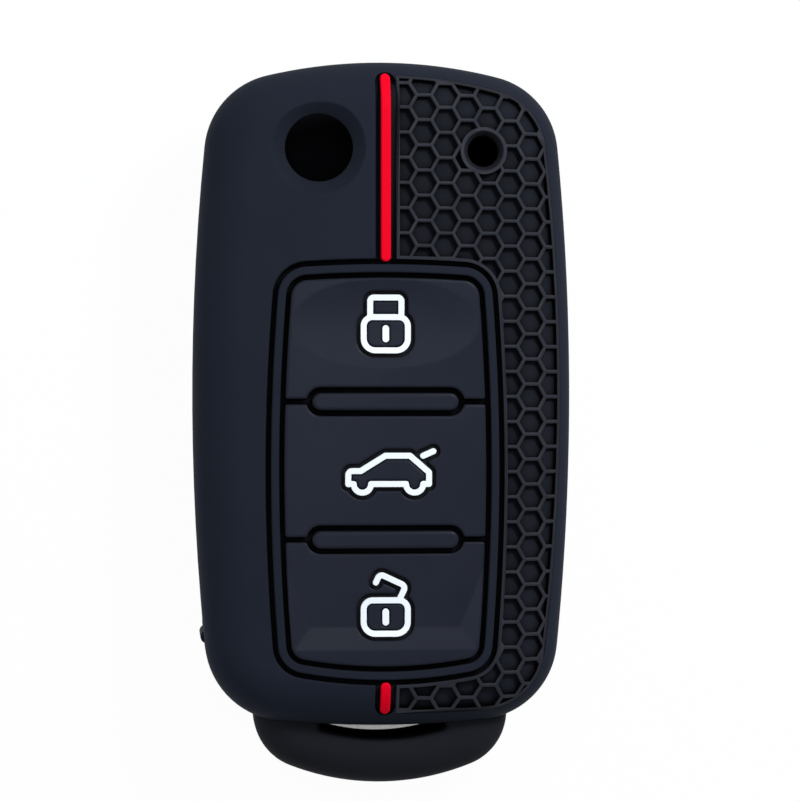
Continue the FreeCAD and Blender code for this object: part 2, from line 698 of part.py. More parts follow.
def padlock_case(y):
    """Return the pen line of a padlock's case."""
    half = PADLOCK_WIDTH / 2
    rise = PADLOCK_HEIGHT / 2
    return path([(-half, y + rise, PADLOCK_TOP_CORNER), (half, y + rise, PADLOCK_TOP_CORNER),
                 (half, y - rise, PADLOCK_FOOT_CORNER), (-half, y - rise, PADLOCK_FOOT_CORNER)], closed=True)


def keyhole(y):
    """Return the pen line of a padlock's keyhole."""
    reach = (KEYHOLE_HEIGHT - KEYHOLE_WIDTH) / 2
    return path([(0, y - reach, 0), (0, y + reach, 0)])


def closed_shackle(y):
    """Return the pen line of a shut shackle."""
    half = SHACKLE_WIDTH / 2
    low = y + PADLOCK_HEIGHT / 2
    return path([(-half, low, 0), (-half, low + SHACKLE_HEIGHT, SHACKLE_CORNER),
                 (half, low + SHACKLE_HEIGHT, SHACKLE_CORNER), (half, low, 0)])


def open_shackle(y):
    """Return the pen line of a shackle that has swung open on its right leg."""
    swing = math.radians(OPEN_SWING)
    up = V(math.sin(swing), math.cos(swing), 0)
    left = V(-math.cos(swing), math.sin(swing), 0)
    foot = V(OPEN_FOOT, y + PADLOCK_HEIGHT / 2, 0)
    shoulder = foot.add(V(up).multiply(OPEN_LEG))
    turn = shoulder.add(V(left).multiply(OPEN_BAR))
    tip = turn.sub(V(up).multiply(OPEN_TIP))
    return path([(foot.x, foot.y, 0), (shoulder.x, shoulder.y, OPEN_CORNER), (turn.x, turn.y, OPEN_CORNER),
                 (tip.x, tip.y, 0)])


def car(y):
    """Return the pen line of a car from the side, with its wheels as half rings."""
    front_arch = [V(-CAR_FRONT_AXLE - CAR_WHEEL, y, 0), V(-CAR_FRONT_AXLE + CAR_WHEEL, y, 0)]
    rear_arch = [V(CAR_REAR_AXLE - CAR_WHEEL, y, 0), V(CAR_REAR_AXLE + CAR_WHEEL, y, 0)]
    shell = path([(front_arch[0].x, y, 0), (-CAR_FRONT, y, 0), (-CAR_FRONT, y + CAR_BONNET, CAR_NOSE_CORNER),
                  (-CAR_SCREEN_FOOT, y + CAR_BONNET, 0), (-CAR_SCREEN_TOP, y + CAR_ROOF, 0),
                  (CAR_ROOF_END, y + CAR_ROOF, 0), (CAR_REAR, y + CAR_BOOT, 0), (CAR_REAR, y, 0),
                  (rear_arch[1].x, y, 0)])
    sill = path([(rear_arch[0].x, y, 0), (front_arch[1].x, y, 0)])
    wheels = [Part.Arc(ends[0], V((ends[0].x + ends[1].x) / 2, y - CAR_WHEEL, 0), ends[1]).toShape()
              for ends in (front_arch, rear_arch)]
    return shell + sill + wheels


def boot_lid(y):
    """Return the pen line of the car's raised boot lid."""
    return path([(LID_START, y + LID_LOW, 0), (LID_END, y + LID_HIGH, 0)])


def islands(pen_mark):
    """Return upright blocks over what a closed pen mark runs round."""
    top = max(pen_mark.Faces, key=lambda item: item.CenterOfMass.z)
    inner = [wire for wire in top.Wires if not wire.isSame(top.OuterWire)]
    return [Part.Face(wire).extrude(V(0, 0, -2 * BODY_THICKNESS)) for wire in inner]


def moat(edges, width, margin):
    """Return the upright block of the moat round a pen line, which is narrow within the line."""
    block = stroke(edges, width + 2 * margin)
    inside = islands(stroke(edges, width + 2 * INNER_MOAT))
    return block.cut(inside) if inside else block


def dressed_button(blank, marks):
    """Return a button with a moat round each of its marks, and the marks that stand in the moats.

    Each mark is the edges of a pen line, the pen's width and the width of the moat.
    """
    floor = shifted(blank, -MOAT_DEPTH)
    moats = [moat(edges, width, margin).cut(floor) for edges, width, margin in marks]
    top = shifted(blank, SYMBOL_RISE)
    solids = [stroke(edges, width).common(top).cut(floor) for edges, width, margin in marks]
    return blank.cut(moats), solids


def build():
    """Return every piece of the cover by name."""
    outer = body_block()
    hollow = body_block(BODY_WALL)
    blanks = [button_blank(face, outer, hollow) for face in button_faces()]
    lock_y = UPPER_BAR + LOCK_LENGTH - LOCK_SYMBOL_DROP
    boot_y = UPPER_BAR - BOOT_SYMBOL_DROP
    unlock_y = LOWER_BAR - UNLOCK_SYMBOL_DROP
    lock_blank = blanks[0].cut(dish(UPPER_BAR + LOCK_LENGTH - LOCK_DISH_DROP))
    unlock_blank = blanks[2].common(scoop())
    shut = padlock_case(lock_y) + closed_shackle(lock_y)
    lock, lock_marks = dressed_button(lock_blank, [(shut, STROKE, MOAT),
                                                   (keyhole(lock_y), KEYHOLE_WIDTH, INNER_MOAT)])
    boot, boot_marks = dressed_button(blanks[1], [(car(boot_y), STROKE, MOAT),
                                                  (boot_lid(boot_y), STROKE, MOAT)])
    undone = padlock_case(unlock_y) + open_shackle(unlock_y)
    unlock, unlock_marks = dressed_button(unlock_blank, [(undone, STROKE, MOAT),
                                                         (keyhole(unlock_y), KEYHOLE_WIDTH, INNER_MOAT)])
    web_top = shifted(hollow, WEB_THICKNESS)
    holes = [prism(face, BODY_THICKNESS / 2, FAR) for face in button_faces(WEB_CLEARANCE)]
    web = panel_window().common(web_top).cut([hollow] + holes)
    bars = [bar(y, outer, web_top) for y in (UPPER_BAR, LOWER_BAR)]
    return {
        "sleeve": sleeve(outer, hollow),
        "keyring_lug": keyring_lug(outer),
        "button_web": web,
        "upper_bar": bars[0],
        "lower_bar": bars[1],
        "lock_button": lock,
        "lock_symbol": lock_marks[0],
        "lock_keyhole": lock_marks[1],
        "boot_button": boot,
        "boot_symbol": boot_marks[0],
        "boot_lid_symbol": boot_marks[1],
        "unlock_button": unlock,
        "unlock_symbol": unlock_marks[0],
        "unlock_keyhole": unlock_marks[1],
        "upper_front_stripe": front_stripe(upper_stripe_face(), outer),
        "lower_front_stripe": front_stripe(lower_stripe_face(), outer),
        "rear_stripe": rear_stripe(outer),
        "front_honeycomb": front_honeycomb(outer),
        "rear_honeycomb": rear_honeycomb(),
    }


def main():
    """Build the pieces and write each to its own file."""
    os.makedirs("parts", exist_ok=True)
    for name, shape in build().items():
        solids = shape.Solids
        print(name, len(solids), "solids,", round(shape.Volume, 2), "mm3, valid", shape.isValid())
        whole = solids[0] if len(solids) == 1 else Part.makeCompound(solids)
        whole.exportStep(os.path.join("parts", name + ".step"))


if __name__ == "__main__":
    main()
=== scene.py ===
"""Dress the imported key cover: silicone finishes, moulded honeycomb fields, the studio and the camera."""
import logging
import math
from dataclasses import dataclass
from enum import Enum
from typing import Optional, Union

import bmesh
import bpy
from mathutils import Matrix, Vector


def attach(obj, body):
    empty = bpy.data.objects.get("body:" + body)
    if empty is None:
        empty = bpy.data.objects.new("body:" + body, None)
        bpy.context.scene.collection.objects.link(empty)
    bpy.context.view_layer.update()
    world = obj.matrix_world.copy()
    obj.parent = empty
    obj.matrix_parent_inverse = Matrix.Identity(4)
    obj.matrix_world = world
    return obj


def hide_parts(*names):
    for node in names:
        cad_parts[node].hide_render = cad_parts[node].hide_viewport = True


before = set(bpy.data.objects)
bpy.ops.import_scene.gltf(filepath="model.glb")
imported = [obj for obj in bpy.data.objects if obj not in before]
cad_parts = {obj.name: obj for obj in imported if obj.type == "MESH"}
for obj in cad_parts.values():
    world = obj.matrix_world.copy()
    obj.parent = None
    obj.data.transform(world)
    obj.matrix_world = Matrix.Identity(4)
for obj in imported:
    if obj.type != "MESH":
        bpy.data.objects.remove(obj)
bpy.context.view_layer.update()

MM = 0.001
LOG = logging.getLogger("key_cover")

Colour = tuple[float, float, float]
Point = tuple[float, float, float]
Span = tuple[float, float]

PURE_WHITE: Colour = (1.0, 1.0, 1.0)

# The distance between two columns of cells, as a share of the cells' pitch.
HEX_STEP = math.sqrt(3) / 2


class Face(Enum):
    """The two broad faces of the cover, by the way each looks along Z."""

    FRONT = 1.0
    BACK = -1.0


class End(Enum):
    """The two ends of an outline, by the way each looks along Y."""

    TOP = 1
    BOTTOM = -1


class Cut(Enum):
    """What a solid operation keeps."""

    LESS = "DIFFERENCE"
    SHARED = "INTERSECT"


def pick(sockets: bpy.types.bpy_prop_collection, key: Union[int, str]) -> bpy.types.NodeSocket:
    """Return a socket by its index, or the first one in use by its name.

    Args:
        sockets: A node's inputs or outputs.
        key: The socket's index or name.

    Returns:
        The socket.
    """
    if isinstance(key, int):
        return sockets[key]
    return next(socket for socket in sockets if socket.name == key and socket.enabled)


def bearing(spot: Vector, centre: Vector) -> float:
    """Return the direction of a spot from a centre, in radians."""
    return math.atan2(spot.y - centre.y, spot.x - centre.x)


class Wire:
    """An output socket that takes part in Python arithmetic: each operator adds a Math node."""

    def __init__(self, kit: "NodeKit", socket: Optional[bpy.types.NodeSocket]) -> None:
        self.kit = kit
        self.socket = socket

    def __getitem__(self, name: str) -> "Wire":
        """Return another output of the same node."""
        return Wire(self.kit, pick(self.socket.node.outputs, name))

    def __add__(self, other: "Term") -> "Wire":
        """Return self + other."""
        return self.kit.math("ADD", self, other)

    __radd__ = __add__

    def __sub__(self, other: "Term") -> "Wire":
        """Return self - other."""
        return self.kit.math("SUBTRACT", self, other)

    def __rsub__(self, other: "Term") -> "Wire":
        """Return other - self."""
        return self.kit.math("SUBTRACT", other, self)

    def __mul__(self, other: "Term") -> "Wire":
        """Return self * other."""
        return self.kit.math("MULTIPLY", self, other)

    __rmul__ = __mul__

    def __truediv__(self, other: "Term") -> "Wire":
        """Return self / other."""
        return self.kit.math("DIVIDE", self, other)

    def __mod__(self, other: "Term") -> "Wire":
        """Return self modulo other, which is never negative."""
        return self.kit.math("FLOORED_MODULO", self, other)

    def __gt__(self, other: "Term") -> "Wire":
        """Return 1 where self is above other, and 0 elsewhere."""
        return self.kit.math("GREATER_THAN", self, other)

    def __lt__(self, other: "Term") -> "Wire":
        """Return 1 where self is below other, and 0 elsewhere."""
        return self.kit.math("LESS_THAN", self, other)

    def floor(self) -> "Wire":
        """Return the whole number at or below self."""
        return self.kit.math("FLOOR", self)

    def between(self, low: float, high: float) -> "Wire":
        """Return self stretched so that low becomes 0 and high becomes 1, held between the two."""
        return self.kit.add("ShaderNodeMapRange", {"clamp": True},
                            {"Value": self, "From Min": low, "From Max": high})


Term = Union[Wire, float, int]


class NodeKit:
    """Adds nodes to one tree, each from its type, its settings and the values or links of its sockets."""

    def __init__(self, tree: bpy.types.NodeTree) -> None:
        """Take over a tree and empty it."""
        self.tree = tree
        tree.nodes.clear()

    def add(self, kind: str, settings: Optional[dict] = None, sockets: Optional[dict] = None) -> Wire:
        """Add one node.

        Args:
            kind: The node's type.
            settings: Its settings, which are set first.
            sockets: A value, a Wire, or a list of Wires for each input, by name or index.

        Returns:
            The node's first output in use.
        """
        node = self.tree.nodes.new(kind)
        for name, value in (settings or {}).items():
            setattr(node, name, value)
        for key, value in (sockets or {}).items():
            socket = pick(node.inputs, key)
            for term in value if isinstance(value, list) else [value]:
                if isinstance(term, Wire):
                    self.tree.links.new(term.socket, socket)
                else:
                    socket.default_value = term
        return Wire(self, next((socket for socket in node.outputs if socket.enabled), None))

    def math(self, operation: str, *terms: Term) -> Wire:
        """Return the result of a Math node."""
        return self.add("ShaderNodeMath", {"operation": operation}, dict(enumerate(terms)))

    def vector(self, x: Term, y: Term, z: Term) -> Wire:
        """Return a vector of three values."""
        return self.add("ShaderNodeCombineXYZ", None, {"X": x, "Y": y, "Z": z})

    def parts(self, vector: Wire) -> tuple[Wire, Wire, Wire]:
        """Return a vector's three values."""
        split = self.add("ShaderNodeSeparateXYZ", None, {"Vector": vector})
        return split["X"], split["Y"], split["Z"]

    def blend(self, factor: Wire, first: Union[Wire, Colour], second: Union[Wire, Colour]) -> Wire:
        """Blend two colours.

        Args:
            factor: 0 for the first colour and 1 for the second.
            first: A colour or a link.
            second: A colour or a link.

        Returns:
            The blended colour.
        """
        colours = [tone if isinstance(tone, Wire) else (*tone, 1.0) for tone in (first, second)]
        return self.add("ShaderNodeMix", {"data_type": "RGBA"},
                        {"Factor": factor, "A": colours[0], "B": colours[1]})

    def noise(self, vector: Wire, grain: float, detail: float, breakup: float) -> Wire:
        """Make cloudy noise.

        Args:
            vector: Where it is read.
            grain: The size of its grains, in millimetres.
            detail: How many finer layers it has.
            breakup: How strong those layers are.

        Returns:
            The noise, about 0.5 in the middle.
        """
        return self.add("ShaderNodeTexNoise", None,
                        {"Vector": vector, "Scale": 1 / (grain * MM), "Detail": detail, "Roughness": breakup})


@dataclass(frozen=True)
class Silicone:
    """A moulded silicone: its tones, its gloss and the fine tooth that the mould leaves, with painted shade in
    its hollows and a painted highlight along its edges.

    Attributes:
        name: The material's name.
        tone: Its colour.
        bloom_and_highlight: The paler tone of its cloudy patches, and of its edges, where it is a painted
            highlight.
        painted_nook_shade: Its tone in hollows, a painted shade where little light reaches.
        cloud: How much the bloom shows in the patches.
        painted_edge_highlight: How much the paler tone shows along the edges, as a painted highlight.
        roughness: The middle of its roughness.
        specular: Its specular level.
        edge: How far its edges are rounded, in millimetres.
        tooth: The height of its fine tooth, in millimetres.
        groove: How open a spot is where its painted shade is darkest, and where the painted nook shade starts.
        hollow: How open a spot is where the painted nook shade ends, and where the full tone starts.
    """

    name: str
    tone: Colour
    bloom_and_highlight: Colour
    painted_nook_shade: Colour
    cloud: float
    painted_edge_highlight: float
    roughness: float
    specular: float
    edge: float
    tooth: float
    groove: Span = (0.18, 0.55)
    hollow: Span = (0.65, 0.95)

    # The painted shade at the bottom of the grooves, and how far off a spot's surroundings still shade it.
    PAINTED_GROOVE_SHADE = (0.0016, 0.0016, 0.0022)
    HOLLOW_REACH = 60.0
    HOLLOW_SAMPLES = 6
    # The cloudy patches: their size, and the part of the noise that shows.
    PATCH = 7.0
    PATCH_DETAIL = 4.0
    PATCH_BREAKUP = 0.55
    PATCH_SHOWS = (0.35, 0.75)
    # The fine tooth of the mould.
    GRAIN = 0.22
    GRAIN_DETAIL = 2.0
    GRAIN_BREAKUP = 0.5
    # How strongly the rounded edges take the paler tone, a painted highlight.
    EDGE_HIGHLIGHT_GAIN = 2.5
    ROUGHNESS_SPREAD = 0.12
    BEVEL_SAMPLES = 6

    def _skin(self, kit: NodeKit, patch: Wire, rounded: Wire) -> Wire:
        """Make the tone of the open surface, paler in the patches, and paler along the edges as a painted
        highlight.

        Args:
            kit: The material's nodes.
            patch: The noise of the patches.
            rounded: The normal with its edges rounded.

        Returns:
            The colour.
        """
        flat = kit.add("ShaderNodeNewGeometry")["Normal"]
        agree = kit.add("ShaderNodeVectorMath", {"operation": "DOT_PRODUCT"}, {0: rounded, 1: flat})["Value"]
        # Painted highlight: paler where the rounded normal turns away from the flat one, at the edges.
        painted_edge_lit = ((1 - agree) * self.EDGE_HIGHLIGHT_GAIN).between(0.0, 1.0) * self.painted_edge_highlight
        clouded = patch.between(*self.PATCH_SHOWS) * self.cloud
        return kit.blend(painted_edge_lit, kit.blend(clouded, self.tone, self.bloom_and_highlight), self.bloom_and_highlight)

    def material(self) -> bpy.types.Material:
        """Make the finish.

        Returns:
            The finish as a node material.
        """
        made = bpy.data.materials.new(self.name)
        made.use_nodes = True
        kit = NodeKit(made.node_tree)
        place = kit.add("ShaderNodeTexCoord")["Object"]
        patch = kit.noise(place, self.PATCH, self.PATCH_DETAIL, self.PATCH_BREAKUP)
        grain = kit.noise(place, self.GRAIN, self.GRAIN_DETAIL, self.GRAIN_BREAKUP)
        rounded = kit.add("ShaderNodeBevel", {"samples": self.BEVEL_SAMPLES}, {"Radius": self.edge * MM})
        skin = self._skin(kit, patch, rounded)
        # Painted shade: by how open each spot is, black at the bottoms of grooves and the nook shade in hollows.
        sky = kit.add("ShaderNodeAmbientOcclusion", {"samples": self.HOLLOW_SAMPLES},
                      {"Distance": self.HOLLOW_REACH * MM})["AO"]
        lit = sky.between(*self.groove)
        colour = kit.blend(lit, self.PAINTED_GROOVE_SHADE, kit.blend(sky.between(*self.hollow), self.painted_nook_shade, skin))
        # Each noise is about 0.5 in the middle, so the two together are about 1.
        uneven = (patch + grain - 1) * self.ROUGHNESS_SPREAD
        roughness = self.roughness + uneven + (1 - lit) * (1 - self.roughness)
        bump = kit.add("ShaderNodeBump", None,
                       {"Strength": 1.0, "Distance": self.tooth * MM, "Height": grain, "Normal": rounded})
        shader = kit.add("ShaderNodeBsdfPrincipled", None,
                         {"Base Color": colour, "Roughness": roughness, "Normal": bump,
                          "Specular IOR Level": self.specular})
        kit.add("ShaderNodeOutputMaterial", None, {"Surface": shader})
        return made


# The painted shade of hollows: a darker, more neutral black than the open surface.
PAINTED_NOOK_BLACK: Colour = (0.0098, 0.0098, 0.0125)
STRIPE_TONE: Colour = (0.82, 0.0008, 0.0165)
SYMBOL_TONE: Colour = (0.90, 0.92, 0.95)
# The inlays take the painted groove shade only in their deepest spots.
INLAY_GROOVE: Span = (0.0, 0.2)

SHELL_BLACK = Silicone(
    "shell_black", tone=(0.0135, 0.0164, 0.0252), bloom_and_highlight=(0.0190, 0.0222, 0.0328), painted_nook_shade=PAINTED_NOOK_BLACK,
    cloud=0.25, painted_edge_highlight=0.5, roughness=0.62, specular=0.02, edge=0.12, tooth=0.004)
# The lug is the shell's own silicone, given a more neutral tone: painted light, for the more neutral light on
# the lower end.
LUG_PAINTED_LIGHT_BLACK = Silicone(
    "lug_black_painted_light", tone=(0.0138, 0.0147, 0.0182), bloom_and_highlight=(0.0186, 0.0200, 0.0248), painted_nook_shade=PAINTED_NOOK_BLACK,
    cloud=0.25, painted_edge_highlight=0.5, roughness=0.62, specular=0.02, edge=0.12, tooth=0.004)
PAD_BLACK = Silicone(
    "pad_black", tone=(0.0054, 0.0073, 0.0152), bloom_and_highlight=(0.0120, 0.0146, 0.0242), painted_nook_shade=PAINTED_NOOK_BLACK,
    cloud=0.3, painted_edge_highlight=0.4, roughness=0.4, specular=0.11, edge=0.4, tooth=0.004, groove=(0.25, 0.6))
# The ribs are the shell's own silicone, more neutral with much paler edges: a painted highlight on their lit
# tops.
RIB_PAINTED_LIT_BLACK = Silicone(
    "rib_black_painted_lit", tone=(0.0165, 0.0175, 0.0245), bloom_and_highlight=(0.0340, 0.0358, 0.0465), painted_nook_shade=PAINTED_NOOK_BLACK,
    cloud=0.3, painted_edge_highlight=0.8, roughness=0.55, specular=0.1, edge=0.1, tooth=0.004, groove=(0.3, 0.5))
STRIPE_RED = Silicone(
    "inlay_red", tone=STRIPE_TONE, bloom_and_highlight=(0.86, 0.003, 0.021), painted_nook_shade=STRIPE_TONE,
    cloud=0.15, painted_edge_highlight=0.25, roughness=0.6, specular=0.03, edge=0.12, tooth=0.003, groove=INLAY_GROOVE)
SYMBOL_WHITE = Silicone(
    "inlay_white", tone=SYMBOL_TONE, bloom_and_highlight=(0.93, 0.94, 0.96), painted_nook_shade=SYMBOL_TONE,
    cloud=0.2, painted_edge_highlight=0.2, roughness=0.5, specular=0.2, edge=0.08, tooth=0.003, groove=INLAY_GROOVE)


@dataclass(frozen=True)
class Finishes:
    """Every finish of the cover, made once."""

    shell: bpy.types.Material
    lug: bpy.types.Material
    pad: bpy.types.Material
    rib: bpy.types.Material
    red: bpy.types.Material
    white: bpy.types.Material

    @classmethod
    def make(cls) -> "Finishes":
        """Return the finishes as materials."""
        return cls(shell=SHELL_BLACK.material(), lug=LUG_PAINTED_LIGHT_BLACK.material(), pad=PAD_BLACK.material(),
                   rib=RIB_PAINTED_LIT_BLACK.material(), red=STRIPE_RED.material(), white=SYMBOL_WHITE.material())


@dataclass(frozen=True)
class Barrel:
    """An outline of four bowed sides with round corners, the same on the left and the right, in millimetres.

    Attributes:
        top: The height of its top on the middle line.
        bottom: The height of its bottom on the middle line.
        width: Its width at the waist, where it is widest.
        waist: The height of the waist.
        top_bow: The radius of the top.
        side_bow: The radius of each side.
        bottom_bow: The radius of the bottom.
        top_corner: The radius of each upper corner.
        bottom_corner: The radius of each lower corner.
    """

    top: float
    bottom: float
    width: float
    waist: float
    top_bow: float
    side_bow: float
    bottom_bow: float
    top_corner: float
    bottom_corner: float

    # How far the runs between an arc's points may leave the arc.
    SAG = 0.004

    def _side_centre(self) -> Vector:
        """Return the centre of the right-hand side's arc."""
        return Vector((self.width / 2 - self.side_bow, self.waist))

    def _corner(self, end: End) -> Vector:
        """Find the right-hand corner's arc at one end.

        Args:
            end: The end.

        Returns:
            The arc's centre.
        """
        up = end.value
        if end is End.TOP:
            height, bow, corner = self.top, self.top_bow, self.top_corner
        else:
            height, bow, corner = self.bottom, self.bottom_bow, self.bottom_corner
        end_centre = Vector((0.0, height - up * bow))
        end_reach = bow - corner
        side_reach = self.side_bow - corner
        across = self._side_centre() - end_centre
        along = (end_reach ** 2 - side_reach ** 2 + across.length_squared) / (2 * across.length)
        rise = math.sqrt(end_reach ** 2 - along ** 2)
        base = end_centre + across.normalized() * along
        offset = Vector((-across.y, across.x)).normalized() * rise
        return max(base + offset, base - offset, key=lambda spot: spot.x + up * spot.y)

    def _arc(self, centre: Vector, radius: float, start: float, end: float) -> list[Vector]:
        """Divide an arc.

        Args:
            centre: The arc's centre.
            radius: Its radius.
            start: The angle at which it starts, in radians.
            end: The angle at which it ends.

        Returns:
            Points along the arc, without its last one.
        """
        step = 2 * math.acos(1 - self.SAG / radius)
        count = max(2, math.ceil(abs(end - start) / step))
        turns = [start + (end - start) * index / count for index in range(count)]
        return [centre + radius * Vector((math.cos(turn), math.sin(turn))) for turn in turns]

    def right_side(self, inset: float, start: float) -> list[Vector]:
        """Return the outline's right-hand half.

        Args:
            inset: How far the outline is drawn in, or grown where this is negative.
            start: Where the half starts and ends, to the right of the middle line.

        Returns:
            Points clockwise from the top to the bottom.
        """
        top_centre = Vector((0.0, self.top - self.top_bow))
        low_centre = Vector((0.0, self.bottom + self.bottom_bow))
        side_centre = self._side_centre()
        top_corner = self._corner(End.TOP)
        low_corner = self._corner(End.BOTTOM)
        top_radius = self.top_bow - inset
        low_radius = self.bottom_bow - inset
        top_turn = bearing(top_corner, top_centre)
        high_turn = bearing(top_corner, side_centre)
        low_turn = bearing(low_corner, side_centre)
        end_turn = bearing(low_corner, low_centre)
        last = -math.acos(start / low_radius)
        arcs = (
            (top_centre, top_radius, math.acos(start / top_radius), top_turn),
            (top_corner, self.top_corner - inset, top_turn, high_turn),
            (side_centre, self.side_bow - inset, high_turn, low_turn),
            (low_corner, self.bottom_corner - inset, low_turn, end_turn),
            (low_centre, low_radius, end_turn, last),
        )
        points = [spot for arc in arcs for spot in self._arc(*arc)]
        points.append(low_centre + low_radius * Vector((math.cos(last), math.sin(last))))
        return points


BODY = Barrel(top=40.725, bottom=-34.105, width=42.8, waist=3.31, top_bow=57.0, side_bow=284.0,
              bottom_bow=130.0, top_corner=9.1, bottom_corner=9.3)
PANEL = Barrel(top=17.995, bottom=-28.805, width=26.09, waist=-5.165, top_bow=135.0, side_bow=245.0,
               bottom_bow=54.0, top_corner=3.6, bottom_corner=3.4)
FIELD = Barrel(top=38.915, bottom=-32.435, width=39.74, waist=3.31, top_bow=50.4, side_bow=230.0,
               bottom_bow=250.0, top_corner=7.1, bottom_corner=7.1)


class HoneycombTree:
    """A node tree that moulds a honeycomb from a flat field, in millimetres, and lays it in its seat."""

    # The attribute that marks the part of a field that may hold cells.
    INSIDE = "inside"
    CELL_SIDES = 6
    RING_STEPS = 64
    # How far the cutters stand over the field's face and reach below its back.
    HEADROOM = 0.05
    FOOTROOM = 1.0
    # How far the block that trims the cells stands past the field, and the height of the lamp's post.
    TRIM = 4.0
    POST = 8.0
    # The distance between a cutter's three rings before each gets its own height.
    RING_GAP = 1.0
    # How close points are welded, and what keeps a whole number from being rounded down.
    WELD = 0.001
    NUDGE = 0.0001
    # How far off the rays start that find the seat's floor.
    FAR = 50.0
    INPUTS = {
        "NodeSocketFloat": ("Pitch", "Rib", "Edge", "Depth", "Scrap", "First X", "First Y", "Lamp X", "Lamp Y",
                            "Lamp Radius", "Lamp Ring", "Lamp Flare", "Lamp Sink", "Outward"),
        "NodeSocketInt": ("Columns", "Rows", "Stagger"),
        "NodeSocketBool": ("Lamp",),
        "NodeSocketObject": ("Seat",),
        "NodeSocketMaterial": ("Material",),
    }

    def __init__(self) -> None:
        """Build the tree."""
        self.tree = bpy.data.node_groups.new("honeycomb", "GeometryNodeTree")
        self.kit = NodeKit(self.tree)
        sides = self.tree.interface
        sides.new_socket("Geometry", in_out="INPUT", socket_type="NodeSocketGeometry")
        sides.new_socket("Geometry", in_out="OUTPUT", socket_type="NodeSocketGeometry")
        for kind, names in self.INPUTS.items():
            for name in names:
                sides.new_socket(name, in_out="INPUT", socket_type=kind)
        self.source = self.kit.add("NodeGroupInput")
        self._finish(self._laid(self._lattice()))

    def _prism(self, face: Wire, low: Term, high: Term) -> Wire:
        """Draw out a flat face.

        Args:
            face: The face, at height 0.
            low: Where the solid starts.
            high: Where it ends.

        Returns:
            The closed solid.
        """
        kit = self.kit
        base = kit.add("GeometryNodeTransform", None,
                       {"Geometry": face, "Translation": kit.vector(0, 0, low)})
        drawn = kit.add("GeometryNodeExtrudeMesh", {"mode": "FACES"},
                        {"Mesh": base, "Offset": kit.vector(0, 0, 1), "Offset Scale": high - low,
                         "Individual": False})
        under = kit.add("GeometryNodeFlipFaces", None, {"Mesh": base})
        joined = kit.add("GeometryNodeJoinGeometry", None, {"Geometry": [drawn, under]})
        return kit.add("GeometryNodeMergeByDistance", None, {"Geometry": joined, "Distance": self.WELD})

    def _cutter(self, sides: int, radius: Wire, flare: Wire, above: Term, below: Wire) -> Wire:
        """Make the solid that cuts one upright hole with a sloping mouth.

        Args:
            sides: How many sides the hole has.
            radius: Its radius, at the corners.
            flare: How much wider the cutter's top is, as a share of the radius.
            above: How far the top stands over the field's face.
            below: How far below that face the slope ends.

        Returns:
            The solid, at the origin.
        """
        kit = self.kit
        tube = kit.add("GeometryNodeMeshCylinder", {"fill_type": "NGON"},
                       {"Vertices": sides, "Side Segments": 2, "Radius": radius, "Depth": 2 * self.RING_GAP})
        x, y, z = kit.parts(kit.add("GeometryNodeInputPosition"))
        top = z > self.RING_GAP / 2
        foot = z < -self.RING_GAP / 2
        spread = 1 + top * flare
        height = top * above - (1 - top - foot) * below - foot * (self.source["Depth"] + self.FOOTROOM)
        place = kit.vector(x * spread, y * spread, height)
        return kit.add("GeometryNodeSetPosition", None, {"Geometry": tube, "Position": place})

    def _cell(self) -> Wire:
        """Make the solid that cuts one cell, with a mouth that gives the ribs soft edges.

        Returns:
            The solid, at the origin.
        """
        apothem = (self.source["Pitch"] - self.source["Rib"]) * 0.5
        flare = (self.source["Edge"] + self.HEADROOM) / apothem
        return self._cutter(self.CELL_SIDES, apothem * (1 / HEX_STEP), flare, self.HEADROOM, self.source["Edge"])

    def _grid(self) -> Wire:
        """Set out the cells: columns of points, every other one half a pitch higher.

        Returns:
            The middles of the cells.
        """
        kit = self.kit
        pitch = self.source["Pitch"]
        columns, rows = self.source["Columns"], self.source["Rows"]
        width = (columns - 1) * pitch * HEX_STEP
        length = (rows - 1) * pitch
        grid = kit.add("GeometryNodeMeshGrid", None,
                       {"Size X": width, "Size Y": length, "Vertices X": columns, "Vertices Y": rows})
        column = (kit.add("GeometryNodeInputIndex") / rows + self.NUDGE).floor()
        raised = (column + self.source["Stagger"]) % 2 * pitch * 0.5
        offset = kit.vector(self.source["First X"] + width * 0.5,
                            self.source["First Y"] + length * 0.5 + raised, 0)
        return kit.add("GeometryNodeSetPosition", None, {"Geometry": grid, "Offset": offset})

    def _at_lamp(self, solid: Wire) -> Wire:
        """Return a solid moved from the origin to the lamp hole."""
        spot = self.kit.vector(self.source["Lamp X"], self.source["Lamp Y"], 0)
        return self.kit.add("GeometryNodeTransform", None, {"Geometry": solid, "Translation": spot})

    def _post(self, radius: Wire) -> Wire:
        """Make an upright cylinder.

        Args:
            radius: Its radius.

        Returns:
            The cylinder, at the lamp hole.
        """
        post = self.kit.add("GeometryNodeMeshCylinder", {"fill_type": "NGON"},
                            {"Vertices": self.RING_STEPS, "Radius": radius, "Depth": self.POST})
        return self._at_lamp(post)

    def _bore(self) -> Wire:
        """Make the solid that bores the lamp hole and opens it towards its rim.

        Returns:
            The solid, at the lamp hole.
        """
        radius, sink = self.source["Lamp Radius"], self.source["Lamp Sink"]
        # The top stands as far over the face as the slope goes below it, so it flares twice as much.
        flare = self.source["Lamp Flare"] * 2 / radius
        return self._at_lamp(self._cutter(self.RING_STEPS, radius, flare, sink, sink))

    def _boolean(self, cut: Cut, first: Optional[Wire], others: list[Wire]) -> Wire:
        """Return an exact solid operation on meshes."""
        meshes = {1: others} if first is None else {0: first, 1: others}
        return self.kit.add("GeometryNodeMeshBoolean", {"operation": cut.value, "solver": "EXACT"}, meshes)

